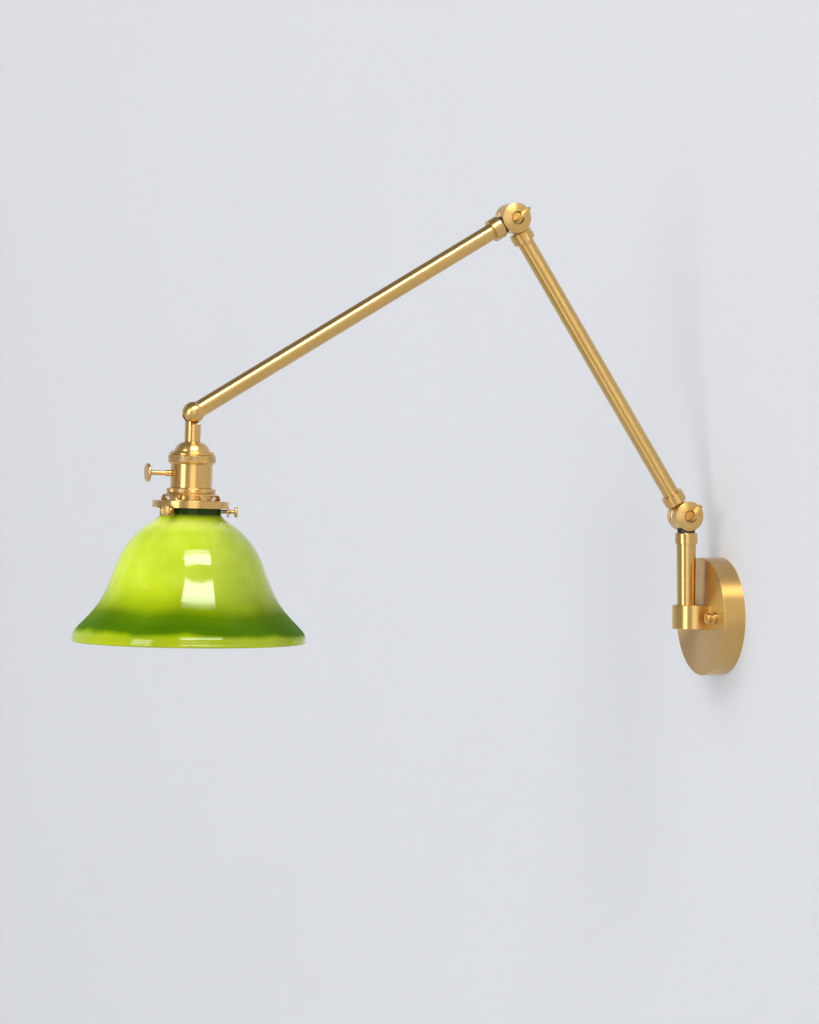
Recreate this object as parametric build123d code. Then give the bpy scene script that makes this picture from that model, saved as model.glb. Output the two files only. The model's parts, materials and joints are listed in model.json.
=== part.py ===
from build123d import *
import math
import os

os.makedirs("parts", exist_ok=True)

# Articulating brass wall lamp with a green glass bell shade. Millimetres.
# Origin: centre of the wall plate's back rim, on the wall. +Z is up, -Y points out into the
# room and +X is the side that the two clamping keys are on.

# ---------------------------------------------------------------- driving dimensions
# Wall plate
canopy_d = 114.3
canopy_depth = 22.0
canopy_wall = 1.6
canopy_edge = 0.8
canopy_screw_spacing = 69.85
canopy_hole_clearance = 0.4
stud_r = 2.0
stud_tail = 0.6
stud_showing = 5.0
canopy_nut_flange_r = 6.1
canopy_nut_flange = 3.0
canopy_nut_waist_r = 4.3
canopy_nut_waist = 3.3
canopy_nut_button_r = 5.3
canopy_nut_button = 3.5
canopy_nut_round = 0.6
canopy_nut_hollow = 1.0
canopy_nut_crown = 1.4

# Straps behind the wall plate
strap_width = 16.0
strap_thickness = 1.6
strap_end_gap = 3.55
box_slot_width = 4.8
box_slot_length = 9.0
box_slot_margin = 3.05
strap_screw_r = 2.4
strap_screw_head_r = 4.4
strap_screw_head_height = 2.4
ground_screw_x = 24.0
ground_screw_r = 2.0
ground_screw_head_r = 4.0
ground_screw_head_height = 2.2
screw_slot_width = 1.1
screw_slot_share = 0.4

# Bracket that holds the stem on the wall plate
stem_reach = 14.9
bracket_nose_r = 20.0
bracket_nose_reach = 8.0
bracket_height = 23.2
bracket_chamfer = 0.5
nipple_r = 4.75
nipple_bore_r = 3.2
nipple_tail = 7.0
nipple_nut_across = 14.3
nipple_nut_height = 3.2
retainer_r = 10.6
retainer_thickness = 2.4
retainer_pilot_r = 7.2

# Stem
stem_top_r = 9.5
stem_foot_r = 8.8
stem_bore_r = 6.0
stem_shoulder_z = 71.0
knuckle_z = 97.5
wire_window_height = 8.0
wire_window_angle = 200.0

# Knuckles: a front and a back half, each a disc about the X axis
knuckle_r = 14.25
knuckle_half = 11.0
knuckle_dome = 3.0
knuckle_edge = 0.6
knuckle_groove = 0.5
knuckle_groove_at = 4.6
washer_thickness = 0.9
washer_r = 12.9
arm_plane_offset = 5.4
neck_r = 5.8
neck_root = 8.0
neck_insert = 16.0
ferrule_r = 10.9
ferrule_length = 10.4
ferrule_lip = 2.4
ferrule_chamfer = 0.9
stem_ferrule_gap = 16.1
arm_ferrule_gap = 14.65
upper_ferrule_gap = 15.6
spacer_r = 8.6

# Clamping keys
key_stud_r = 3.0
key_stop = 2.8
key_recess_r = 6.2
key_recess_floor = 3.8
key_hub_r = 5.2
key_hub_height = 5.0
key_wing_thickness = 2.4
key_wing_near = 4.6
key_wing_foot = 7.0
key_wing_gap = 0.5
key_wing_reach = 12.8
key_wing_shoulder = 7.4
key_wing_rise = 11.0
key_shoulder_round = 2.5
key_tip_round = 2.2
key_near_round = 4.0
lower_key_angle = 58.0
elbow_key_angle = 48.0

# Arms
arm_r = 7.94
arm_wall = 1.2
lower_arm_length = 337.0
lower_arm_angle = 32.2
upper_arm_length = 368.5
upper_arm_drop = 30.2

# Swivel ball at the end of the upper arm
ball_r = 10.45
ball_neck_length = 17.2
ball_slot_width = 6.2
ball_slot_side_gap = 0.35
ball_slot_spare_angle = 0.5
head_tilt_out = 58.0
head_tilt_in = 32.0
ball_eye_r = 5.0
ball_pin_r = 2.0
ball_pin_blind = 3.0
tongue_width = 5.5
tongue_clearance = 0.25
ball_clearance = 0.4

# Head, measured down its own axis from the ball's centre
head_lean = 1.8
neck_outer_r = 7.45
neck_top = 10.9
neck_lip_top = 6.0
neck_lip_r = 5.2
neck_lip_angle = 110.0
neck_overlap = 1.0
neck_seam = 18.9
neck_thread_r = 4.8
neck_thread_length = 8.0
neck_wireway_r = 3.2
cap_neck_end = 26.8
cap_dome_r = 16.9
cap_dome_end = 36.6
cap_bulge_out = 0.64
cap_bulge_down = 0.3
cap_wall = 1.2
set_screw_drop = 2.4
set_screw_r = 1.5
set_screw_sunk = 0.15
set_screw_slot = 0.5
cap_ring_r = 22.1
cap_ring_top = 35.7
cap_ring_end = 47.7
cap_ring_shoulder = 2.6
cap_ring_inset = 0.9
cap_ring_bevel = 2.3
cap_ring_groove = 0.5
cap_ring_groove_at = 1.2
cap_ring_foot = 2.0
cap_ring_foot_inset = 1.6
cap_ring_top_round = 0.6
cap_ring_foot_round = 1.2
shell_r = 19.5
shell_wall = 0.9
shell_end = 69.9
shell_thread_r = 18.9
shell_thread_length = 10.6
shell_edge = 0.5
liner_thickness = 0.5
core_r = 17.0
core_top = 41.0
core_floor = 58.0
core_pocket_r = 5.5
core_ledge = 61.3
core_rim = 77.5
screw_shell_r = 13.2
screw_shell_wall = 0.5
screw_shell_seat = 0.3
screw_shell_showing = 1.0
contact_r = 4.0
contact_foot_r = 2.0
contact_rise = 2.4
contact_thickness = 0.8
knob_drop = 56.35
knob_reach = 43.5
knob_d = 17.6
knob_thickness = 2.6
knob_edge = 0.8
knob_crown = 0.7
knob_boss = 2.0
knob_shaft_r = 2.1
knob_collar_r = 2.9
knob_collar_end = 24.6
knob_collar_taper = 1.2
knob_spindle_r = 1.6
knob_spindle_end = 7.0
shade_ring_r = 22.8
shade_ring_height = 4.5
shade_ring_edge = 0.8
lock_ring_r = 20.2
lock_ring_height = 4.4

# Shade fitter
fitter_sheet = 1.2
fitter_collar_r = 20.8
fitter_skirt_r = 27.4
fitter_skirt_height = 7.2
fitter_knee_share = 0.72
fitter_band_r = 35.6
fitter_band_height = 6.4
fitter_vents = 6
fitter_vent_width = 23.0
fitter_vent_height = 4.6
lug_width = 9.0
lug_height = 8.0
lug_round = 3.4
shade_screw_count = 3
shade_screw_angle = 40.0
shade_screw_drop = 9.1
shade_screw_r = 1.75
shade_screw_boss_r = 3.0
shade_screw_boss = 1.8
shade_screw_waist_r = 1.55
shade_screw_waist = 2.9
shade_screw_head_r = 5.15
shade_screw_head = 3.1
shade_screw_head_round = 1.4
shade_screw_tip_gap = 0.2

# Glass shade
glass_wall = 3.0
glass_lip_r = 31.0
glass_lip_height = 4.6
glass_lip_round = 1.2
glass_neck_r = 28.3
glass_neck_height = 6.4
glass_rim_r = 108.3
glass_height = 129.0
glass_top_gap = 0.9
glass_rim_round = 1.4
# The shade hangs straighter than the socket by this angle, in its loose seat.
glass_seat_tilt = 0.9
# The bell's outer line: shares of the way out from neck to rim, and down from neck to rim.
bell_shares = (
    (0.144, 0.078),
    (0.297, 0.168),
    (0.455, 0.321),
    (0.528, 0.446),
    (0.603, 0.572),
    (0.700, 0.700),
    (0.859, 0.829),
    (0.959, 0.901),
)
# Directions of that line at the neck and at the rim, outward and up.
bell_neck_slope = (0.55, -0.83)
bell_rim_slope = (0.02, -1)

# Clearances
fit_gap = 0.05
running_gap = 0.06
sweep_gap = 0.35

# Bearings about a vertical axis, in degrees from +X
towards_wall = 90.0
towards_room = 270.0
sector_sides = 4

# ---------------------------------------------------------------- places worked out from these
canopy_r = canopy_d / 2
strap_length = canopy_d - 2 * canopy_wall - 2 * strap_end_gap
box_screw_spacing = strap_length - box_slot_length - 2 * box_slot_margin
stem_y = -(canopy_depth + stem_reach)
bracket_top = bracket_height / 2
knuckle_plane = -arm_plane_offset / 2
washer_front = knuckle_plane + washer_thickness / 2
washer_back = knuckle_plane - washer_thickness / 2
front_start = washer_front + running_gap
front_rim = front_start + knuckle_half
back_rim = washer_back - knuckle_half
dome_top = front_rim + knuckle_dome
head_bearing = 90 - upper_arm_drop - head_lean
head_seam_z = -neck_seam
shell_mouth = shell_end + shell_thread_length
fitter_top = shell_end + shade_ring_height
band_top = fitter_top + fitter_skirt_height
band_end = band_top + fitter_band_height
screw_axis = band_top + shade_screw_drop
glass_top = band_top + fitter_sheet + glass_top_gap
glass_neck_top = glass_top + glass_lip_height
glass_neck_end = glass_neck_top + glass_neck_height
glass_rim = glass_top + glass_height
sweep_r = knuckle_r + sweep_gap

TO_ROOM = Rot(90, 0, 0)
TO_KEYS = Rot(0, 90, 0)
KNUCKLE = Pos(0, stem_y, knuckle_z)
LOWER_ARM = KNUCKLE * Rot(lower_arm_angle, 0, 0)
ELBOW = LOWER_ARM * Pos(0, 0, lower_arm_length) * Rot(-lower_arm_angle, 0, 0)
UPPER_ARM = ELBOW * Rot(90 + upper_arm_drop, 0, 0)
BALL = UPPER_ARM * Pos(0, 0, upper_arm_length) * Rot(-90 - upper_arm_drop, 0, 0)
HEAD = BALL * Rot(-head_lean, 0, 0)


# ---------------------------------------------------------------- shapes used many times
def rod(radius, low, high):
    """Round bar on the Z axis between two heights."""
    low, high = min(low, high), max(low, high)
    return Pos(0, 0, low) * Cylinder(
        radius, high - low, align=(Align.CENTER, Align.CENTER, Align.MIN)
    )


def ring(outer, inner, low, high):
    """Tube on the Z axis between two heights."""
    return rod(outer, low, high) - rod(inner, low, high)


def rounded(face, rounds):
    """Fillets corners of a face; rounds lists (corner, radius)."""
    for corner, radius in rounds:
        point = Vector(*corner)
        vertex = min(face.vertices(), key=lambda v: (Vector(*v) - point).length)
        face = fillet(vertex, radius)
    return face


def turned(outline, rounds=()):
    """Body turned about Z from (radius, height) corners; rounds lists (corner number, radius)."""
    face = make_face(Polyline(*outline, close=True))
    face = rounded(face, [(outline[number], radius) for number, radius in rounds])
    return revolve(Plane.XZ * face, Axis.Z)


def block(low, high):
    """Box between two opposite corners."""
    size = [b - a for a, b in zip(low, high)]
    middle = [(a + b) / 2 for a, b in zip(low, high)]
    return Pos(*middle) * Box(*size)


def sector(radius, start, end, low, high):
    """Pie slice about Z, out past a radius, from a start to an end angle in degrees from +X."""
    reach = 2 * radius
    corners = [(0, 0)]
    for side in range(sector_sides + 1):
        angle = math.radians(start + (end - start) * side / sector_sides)
        corners.append((reach * math.cos(angle), reach * math.sin(angle)))
    face = make_face(Polyline(*corners, close=True))
    return Pos(0, 0, low) * extrude(face, high - low)


def outward(bearing):
    """Turns +X to a bearing measured from -Y towards +X."""
    return Rot(0, 0, bearing - 90)


def on_both_sides(shape, spacing):
    """The two places of a shape that repeats at a spacing along X."""
    return [Pos(side * spacing / 2, 0, 0) * shape for side in (-1, 1)]


# ---------------------------------------------------------------- wall plate and straps
def canopy():
    inner_r = canopy_r - canopy_wall
    face_back = canopy_depth - canopy_wall
    outline = [
        (inner_r, 0),
        (canopy_r, 0),
        (canopy_r, canopy_depth),
        (0, canopy_depth),
        (0, face_back),
        (inner_r, face_back),
    ]
    body = turned(outline, [(2, canopy_edge)])
    body -= rod(nipple_r + canopy_hole_clearance, 0, canopy_depth)
    for hole in on_both_sides(rod(stud_r + canopy_hole_clearance, 0, canopy_depth), canopy_screw_spacing):
        body -= hole
    return TO_ROOM * body


def strap(low, holes):
    half = strap_length / 2
    bar = block((-half, -strap_width / 2, low), (half, strap_width / 2, low + strap_thickness))
    bar = fillet(bar.edges().filter_by(Axis.Z), strap_width / 4)
    for hole in holes:
        bar -= hole
    return bar


def box_strap():
    slot = extrude(SlotOverall(box_slot_length, box_slot_width), strap_thickness)
    holes = on_both_sides(slot, box_screw_spacing)
    holes.append(rod(strap_screw_r + fit_gap, 0, strap_thickness))
    return TO_ROOM * Rot(0, 0, 90) * strap(0, holes)


def fixture_strap():
    low, high = strap_thickness, 2 * strap_thickness
    holes = on_both_sides(rod(stud_r + running_gap, low, high), canopy_screw_spacing)
    holes.append(rod(strap_screw_r + fit_gap, low, high))
    holes.append(Pos(ground_screw_x, 0, 0) * rod(ground_screw_r + fit_gap, low, high))
    return TO_ROOM * strap(low, holes)


def slotted_screw(radius, head_r, head_height, low, seat):
    """Pan-head screw whose shank runs from low to its seat, with the head above the seat."""
    top = seat + head_height
    screw = rod(radius, low, seat) + rod(head_r, seat, top)
    half = screw_slot_width / 2
    return screw - block((-head_r, -half, top - head_height * screw_slot_share), (head_r, half, top))


def strap_screw():
    seat = 2 * strap_thickness
    return TO_ROOM * slotted_screw(
        strap_screw_r, strap_screw_head_r, strap_screw_head_height, 0, seat
    )


def ground_screw():
    seat = 2 * strap_thickness
    screw = slotted_screw(
        ground_screw_r, ground_screw_head_r, ground_screw_head_height, strap_thickness, seat
    )
    return TO_ROOM * Pos(ground_screw_x, 0, 0) * screw


def canopy_studs():
    stud = rod(stud_r, strap_thickness - stud_tail, canopy_depth + stud_showing)
    return TO_ROOM * Compound(children=on_both_sides(stud, canopy_screw_spacing))


def canopy_nuts():
    """Turned nuts with a flange on the plate, a hollow waist and a domed button."""
    seat = canopy_depth + fit_gap
    waist = seat + canopy_nut_flange
    button = waist + canopy_nut_waist
    top = button + canopy_nut_button
    bore_r, bore_end = stud_r + fit_gap, seat + stud_showing
    outline = [
        (bore_r, seat),
        (canopy_nut_flange_r, seat),
        (canopy_nut_flange_r, waist),
        (canopy_nut_waist_r, waist),
        (canopy_nut_waist_r, button),
        (canopy_nut_button_r, button),
        (canopy_nut_button_r, top),
        (0, top),
        (0, bore_end),
        (bore_r, bore_end),
    ]
    rounds = [(1, canopy_nut_round), (2, canopy_nut_round), (3, canopy_nut_hollow)]
    rounds += [(5, canopy_nut_round), (6, canopy_nut_crown)]
    nut = turned(outline, rounds)
    return TO_ROOM * Compound(children=on_both_sides(nut, canopy_screw_spacing))


# ---------------------------------------------------------------- bracket and stem
def stem_bracket():
    """Round-nosed block on the plate, bored for the stem."""
    low, high = -bracket_top, bracket_top
    plate, nose = -canopy_depth, -canopy_depth - bracket_nose_reach
    r = bracket_nose_r
    face = make_face(
        [
            Polyline((-r, nose), (-r, plate), (r, plate), (r, nose)),
            ThreePointArc((r, nose), (0, nose - r), (-r, nose)),
        ]
    )
    body = Pos(0, 0, low) * extrude(face, high - low)
    rims = body.edges().group_by(Axis.Z)
    free = [edge for edge in rims[0] + rims[-1] if edge.center().Y < plate - bracket_chamfer]
    body = chamfer(free, bracket_chamfer)
    body -= Pos(0, stem_y, 0) * rod(stem_foot_r + running_gap, low, high)
    body -= Pos(0, stem_y, 0) * rod(retainer_r + sweep_gap, low, low + retainer_thickness + running_gap)
    return body - TO_ROOM * rod(nipple_r + fit_gap, canopy_depth, -stem_y)


def bracket_nipple():
    end = -stem_y - stem_foot_r - sweep_gap
    start = canopy_depth - canopy_wall - nipple_tail
    return TO_ROOM * ring(nipple_r, nipple_bore_r, start, end)


def nipple_nut():
    seat = canopy_depth - canopy_wall
    hexagon = RegularPolygon(nipple_nut_across / 2, 6, major_radius=False)
    nut = Pos(0, 0, seat - nipple_nut_height) * extrude(hexagon, nipple_nut_height)
    return TO_ROOM * (nut - rod(nipple_r, seat - nipple_nut_height, seat))


def stem_tube():
    foot = -bracket_top + retainer_thickness + running_gap
    sleeve_top = knuckle_z - stem_ferrule_gap - ferrule_lip
    outline = [
        (stem_bore_r, foot - retainer_thickness),
        (retainer_pilot_r, foot - retainer_thickness),
        (retainer_pilot_r, foot),
        (stem_foot_r, foot),
        (stem_foot_r, bracket_top),
        (stem_top_r, stem_shoulder_z),
        (arm_r, stem_shoulder_z),
        (arm_r, sleeve_top),
        (stem_bore_r, sleeve_top),
    ]
    body = turned(outline)
    half = wire_window_angle / 2
    top = wire_window_height / 2
    window = sector(stem_foot_r, towards_wall - half, towards_wall + half, -top, top)
    return Pos(0, stem_y, 0) * (body - window)


def stem_retainer():
    low = -bracket_top
    return Pos(0, stem_y, 0) * ring(
        retainer_r, retainer_pilot_r + fit_gap, low, low + retainer_thickness
    )


def ferrule(start, length):
    """Sleeve with a closed lip towards the knuckle; heights run away from the knuckle."""
    end = start + length
    outline = [
        (neck_r + fit_gap, start),
        (ferrule_r - ferrule_chamfer, start),
        (ferrule_r, start + ferrule_chamfer),
        (ferrule_r, end),
        (arm_r + fit_gap, end),
        (arm_r + fit_gap, start + ferrule_lip),
        (neck_r + fit_gap, start + ferrule_lip),
    ]
    return turned(outline)


def stem_ferrule():
    length = knuckle_z - stem_shoulder_z - stem_ferrule_gap
    return KNUCKLE * Rot(180, 0, 0) * ferrule(stem_ferrule_gap, length)


def spacer(gap):
    """Black washer between a ferrule and its knuckle, hollowed to the knuckle's round."""
    body = ring(spacer_r, neck_r + fit_gap, neck_root, gap)
    return body - TO_KEYS * rod(sweep_r, -2 * knuckle_r, 2 * knuckle_r)


# ---------------------------------------------------------------- knuckles and keys
def front_half():
    """Front half of a knuckle about X: domed disc, key recess and the neck into its tube."""
    # At half its radius a shallow dome has three quarters of its height.
    dome_middle = (knuckle_r / 2, front_rim + knuckle_dome * 3 / 4)
    face = make_face(
        [
            Polyline(
                (0, dome_top),
                (0, front_start),
                (knuckle_r - knuckle_edge, front_start),
                (knuckle_r, front_start + knuckle_edge),
                (knuckle_r, front_rim),
            ),
            ThreePointArc((knuckle_r, front_rim), dome_middle, (0, dome_top)),
        ]
    )
    disc = TO_KEYS * revolve(Plane.XZ * face, Axis.Z)
    neck = rod(neck_r, neck_root, arm_ferrule_gap + neck_insert)
    neck -= TO_KEYS * rod(sweep_r, -2 * knuckle_r, front_start)
    body = disc + neck
    body -= TO_KEYS * rod(key_recess_r, front_rim - key_recess_floor, 2 * knuckle_r)
    return body - TO_KEYS * rod(key_stud_r + sweep_gap, -2 * knuckle_r, 2 * knuckle_r)


def back_half():
    """Back half of a knuckle about X, threaded for the key, with a turned groove."""
    groove = back_rim + knuckle_groove_at
    groove_r = knuckle_r - knuckle_groove
    outline = [
        (0, back_rim),
        (knuckle_r - 2 * knuckle_edge, back_rim),
        (knuckle_r, back_rim + 2 * knuckle_edge),
        (knuckle_r, groove - knuckle_groove),
        (groove_r, groove),
        (knuckle_r, groove + knuckle_groove),
        (knuckle_r, washer_back - knuckle_edge),
        (knuckle_r - knuckle_edge, washer_back),
        (0, washer_back),
    ]
    disc = TO_KEYS * turned(outline)
    neck = rod(neck_r, neck_root, arm_ferrule_gap + neck_insert)
    neck = Pos(-arm_plane_offset, 0, 0) * neck
    neck -= TO_KEYS * rod(sweep_r, washer_back, 2 * knuckle_r)
    body = disc + neck
    return body - TO_KEYS * rod(key_stud_r + running_gap, back_rim + key_stop, washer_back)


def friction_washer():
    return TO_KEYS * ring(washer_r, key_stud_r + sweep_gap, washer_back, washer_front)


def key(angle):
    """Clamping key about X: stud, hub in the recess and a one-sided wing."""
    hub_low = front_rim - key_recess_floor + running_gap
    stud = rod(key_stud_r, back_rim + key_stop + sweep_gap, hub_low)
    hub = rod(key_hub_r, hub_low, hub_low + key_hub_height)
    foot = dome_top + key_wing_gap
    shoulder = (key_wing_reach, dome_top + key_wing_shoulder)
    tip = (key_wing_reach, dome_top + key_wing_rise)
    near_top = (-key_wing_near, dome_top + key_wing_rise)
    outline = [
        (-key_wing_near, hub_low),
        (key_wing_near, hub_low),
        (key_wing_near, foot),
        (key_wing_foot, foot),
        shoulder,
        tip,
        near_top,
    ]
    rounds = [(shoulder, key_shoulder_round), (tip, key_tip_round), (near_top, key_near_round)]
    face = rounded(make_face(Polyline(*outline, close=True)), rounds)
    wing = extrude(Plane.XZ * face, key_wing_thickness / 2, both=True)
    # The wing's reach runs along local X, which TO_KEYS lays along -Z. A turn about X then
    # points it up and to the wall, by its angle above the horizontal.
    return Rot(90 + angle, 0, 0) * TO_KEYS * (stud + hub + wing)


# ---------------------------------------------------------------- arms
def arm_tube(start, end):
    return ring(arm_r, arm_r - arm_wall, start, end)


def lower_arm_tube():
    inset = arm_ferrule_gap + ferrule_lip
    tube = arm_tube(inset, lower_arm_length - inset)
    return LOWER_ARM * Pos(-arm_plane_offset, 0, 0) * tube


def lower_arm_foot_ferrule():
    return LOWER_ARM * Pos(-arm_plane_offset, 0, 0) * ferrule(arm_ferrule_gap, ferrule_length)


def lower_arm_head_ferrule():
    sleeve = Rot(180, 0, 0) * ferrule(arm_ferrule_gap, ferrule_length)
    return LOWER_ARM * Pos(-arm_plane_offset, 0, lower_arm_length) * sleeve


def lower_knuckle_front():
    return KNUCKLE * Rot(180, 0, 0) * front_half()


def lower_knuckle_back():
    return LOWER_ARM * back_half()


def elbow_back():
    return ELBOW * Rot(180 + lower_arm_angle, 0, 0) * back_half()


def elbow_front():
    return UPPER_ARM * front_half()


def upper_arm_tube():
    start = upper_ferrule_gap + ferrule_lip
    return UPPER_ARM * arm_tube(start, upper_arm_length - ball_neck_length)


def upper_arm_ferrule():
    return UPPER_ARM * ferrule(upper_ferrule_gap, ferrule_length)


# ---------------------------------------------------------------- swivel ball and neck
def swivel_ball():
    """Ball with a slot for the tongue; local +Z points on along the arm."""
    body = Sphere(ball_r) + rod(arm_r, -ball_neck_length, 0)
    body += rod(arm_r - arm_wall - fit_gap, -ball_neck_length - arm_r, -ball_neck_length)
    half = ball_slot_width / 2
    # The slot is what the tongue sweeps, by its bearing from the arm's line to the underside:
    # the tongue's width at both ends of its travel, and all that lies between them.
    first = head_bearing - head_tilt_out - ball_slot_spare_angle
    last = head_bearing + head_tilt_in + ball_slot_spare_angle
    side = tongue_width / 2 + ball_slot_side_gap
    slot = rod(ball_eye_r + ball_clearance, -half, half)
    slot += sector(ball_r, first, last, -half, half)
    for bearing in (first, last):
        slot += Rot(0, 0, bearing) * block((0, -side, -half), (2 * ball_r, side, half))
    body -= TO_KEYS * Rot(0, 0, 180) * slot
    body -= rod(neck_wireway_r, -ball_neck_length - arm_r, 0)
    body -= TO_KEYS * rod(ball_pin_r + fit_gap, -ball_r, ball_r - ball_pin_blind)
    return UPPER_ARM * Pos(0, 0, upper_arm_length) * body


def ball_pin():
    end = ball_r - ball_pin_blind
    return BALL * TO_KEYS * rod(ball_pin_r, -end, end - fit_gap)


def swivel_neck():
    """Cup under the ball, with a lip on its room side, a tongue in the ball and a thread below."""
    top, seam = -neck_top, head_seam_z
    thread_end = seam - neck_thread_length
    body = rod(neck_outer_r, seam, top) + rod(neck_thread_r, thread_end, seam)
    half = neck_lip_angle / 2
    lip = ring(neck_outer_r, neck_lip_r, top, -neck_lip_top)
    lip &= sector(neck_outer_r, towards_room - half, towards_room + half, top, -neck_lip_top)
    body += lip
    body -= Sphere(ball_r + ball_clearance)
    thick = ball_slot_width / 2 - tongue_clearance
    bore_top = top - neck_overlap
    body += block((-thick, -tongue_width / 2, bore_top), (thick, tongue_width / 2, 0))
    body += TO_KEYS * rod(ball_eye_r, -thick, thick)
    body -= TO_KEYS * rod(ball_pin_r + running_gap, -ball_r, ball_r)
    body -= rod(neck_wireway_r, thread_end, bore_top)
    return HEAD * body


# ---------------------------------------------------------------- socket
def socket_cap():
    """Small neck that flares into a dome."""
    inner_r = neck_thread_r + fit_gap
    neck_end, dome_end = -cap_neck_end, -cap_dome_end
    bulge_r = neck_outer_r + (cap_dome_r - neck_outer_r) * cap_bulge_out
    bulge_z = neck_end + (dome_end - neck_end) * cap_bulge_down
    foot, foot_r = dome_end - 2 * cap_wall, shell_r - shell_wall - fit_gap
    inner_dome_r = cap_dome_r - cap_wall
    lines = [
        Polyline(
            (inner_r, neck_end - cap_wall),
            (inner_r, head_seam_z),
            (neck_outer_r, head_seam_z),
            (neck_outer_r, neck_end),
        ),
        ThreePointArc((neck_outer_r, neck_end), (bulge_r, bulge_z), (cap_dome_r, dome_end)),
        Polyline((cap_dome_r, dome_end), (foot_r, dome_end), (foot_r, foot), (inner_dome_r, foot)),
        ThreePointArc(
            (inner_dome_r, foot),
            (bulge_r - cap_wall, bulge_z - cap_wall),
            (inner_r, neck_end - cap_wall),
        ),
    ]
    body = revolve(Plane.XZ * make_face(lines), Axis.Z)
    hole = outward(0) * TO_KEYS * rod(set_screw_r, 0, cap_dome_r)
    return HEAD * (body - Pos(0, 0, head_seam_z - set_screw_drop) * hole)


def cap_set_screw():
    end = neck_outer_r - set_screw_sunk
    screw = rod(set_screw_r - fit_gap, neck_thread_r + fit_gap, end)
    half_slot = set_screw_slot / 2
    screw -= block((-set_screw_r, -half_slot, end - set_screw_slot), (set_screw_r, half_slot, end))
    return HEAD * Pos(0, 0, head_seam_z - set_screw_drop) * outward(0) * TO_KEYS * screw


def cap_ring():
    """Ring over the cap's foot: a bevel, a plain step, a groove and the wide band."""
    top, end = -cap_ring_top, -cap_ring_end
    bevel = top - cap_ring_bevel
    groove = bevel - cap_ring_groove_at
    step_r = cap_ring_r - cap_ring_inset
    dome_r = cap_dome_r + fit_gap
    outline = [
        (dome_r, top),
        (cap_ring_r - cap_ring_shoulder, top),
        (step_r, bevel),
        (step_r, groove + cap_ring_groove),
        (step_r - cap_ring_groove, groove),
        (cap_ring_r, groove - cap_ring_groove),
        (cap_ring_r, end + cap_ring_foot),
        (cap_ring_r - cap_ring_foot_inset, end),
        (shell_r + fit_gap, end),
        (shell_r + fit_gap, -cap_dome_end),
        (dome_r, -cap_dome_end),
    ]
    return HEAD * turned(outline, [(1, cap_ring_top_round), (6, cap_ring_foot_round)])


def knob_hole(radius, low, high):
    """Cutter for the switch knob's way in, from the head's axis out to the room."""
    return Pos(0, 0, -knob_drop) * outward(0) * TO_KEYS * rod(radius, low, high)


def socket_shell():
    inner_r = shell_r - shell_wall
    thread_inner_r = shell_thread_r - shell_wall
    top, end = -cap_dome_end - 2 * cap_wall - fit_gap, -shell_end
    outline = [
        (inner_r, top),
        (shell_r, top),
        (shell_r, end + shell_edge),
        (shell_r - shell_edge, end),
        (shell_thread_r, end),
        (shell_thread_r, -shell_mouth),
        (thread_inner_r, -shell_mouth),
        (thread_inner_r, end + shell_wall),
        (inner_r, end + 2 * shell_wall),
    ]
    return HEAD * (turned(outline) - knob_hole(knob_shaft_r + sweep_gap, 0, 2 * shell_r))


def insulating_liner():
    outer = shell_r - shell_wall - fit_gap
    top = -cap_dome_end - 2 * cap_wall - 4 * fit_gap
    body = ring(outer, outer - liner_thickness, -shell_end + 3 * shell_wall, top)
    return HEAD * (body - knob_hole(knob_shaft_r + sweep_gap, 0, 2 * shell_r))


def lampholder_core():
    """Insulating body with a bore for the screw shell, and a pocket at its floor for the contact."""
    hold_r = screw_shell_r + screw_shell_wall + fit_gap
    body = rod(core_r, -core_rim, -core_top)
    body -= rod(hold_r, -core_rim, -core_ledge)
    body -= rod(core_pocket_r, -core_ledge, -core_floor)
    return HEAD * (body - knob_hole(knob_spindle_r + running_gap, knob_spindle_end - sweep_gap, 2 * core_r))


def screw_shell():
    mouth, seat = -core_rim - screw_shell_showing, -core_ledge - screw_shell_seat
    return HEAD * ring(screw_shell_r + screw_shell_wall, screw_shell_r, mouth, seat)


def centre_contact():
    """Button on a foot that stands on the pocket's floor."""
    floor = -core_floor
    under = floor - contact_rise
    return HEAD * (rod(contact_foot_r, under, floor) + rod(contact_r, under - contact_thickness, under))


def switch_knob():
    """Turned about its own axis, which leaves the shell towards the room."""
    back, r = knob_reach - knob_thickness, knob_d / 2
    spindle_out, collar_start = core_r + 2 * fit_gap, shell_r + sweep_gap
    outline = [
        (0, knob_spindle_end),
        (knob_spindle_r, knob_spindle_end),
        (knob_spindle_r, spindle_out),
        (knob_shaft_r, spindle_out),
        (knob_shaft_r, collar_start),
        (knob_collar_r, collar_start),
        (knob_collar_r, knob_collar_end),
        (knob_shaft_r, knob_collar_end + knob_collar_taper),
        (knob_shaft_r, back - knob_boss),
        (knob_collar_r, back),
        (r - knob_edge, back),
        (r, back + knob_edge),
        (r, knob_reach - knob_edge),
        (r - knob_edge, knob_reach),
        (0, knob_reach + knob_crown),
    ]
    return HEAD * Pos(0, 0, -knob_drop) * outward(0) * TO_KEYS * turned(outline)


def shade_ring():
    top, end = -shell_end, -fitter_top
    inner = shell_thread_r + fit_gap
    outline = [(inner, top), (shade_ring_r, top), (shade_ring_r, end), (inner, end)]
    return HEAD * turned(outline, [(1, shade_ring_edge), (2, shade_ring_edge)])


def lock_ring():
    top = -fitter_top - fitter_sheet
    return HEAD * ring(lock_ring_r, shell_thread_r + fit_gap, top - lock_ring_height, top)


# ---------------------------------------------------------------- shade fitter, screws and glass
def fitter_skirt(start, end):
    """Rounded line of the fitter's crown between its collar and its shelf."""
    middle = (
        start[0] + (end[0] - start[0]) * fitter_knee_share,
        start[1] + (end[1] - start[1]) * (1 - fitter_knee_share),
    )
    return ThreePointArc(start, middle, end)


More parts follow.
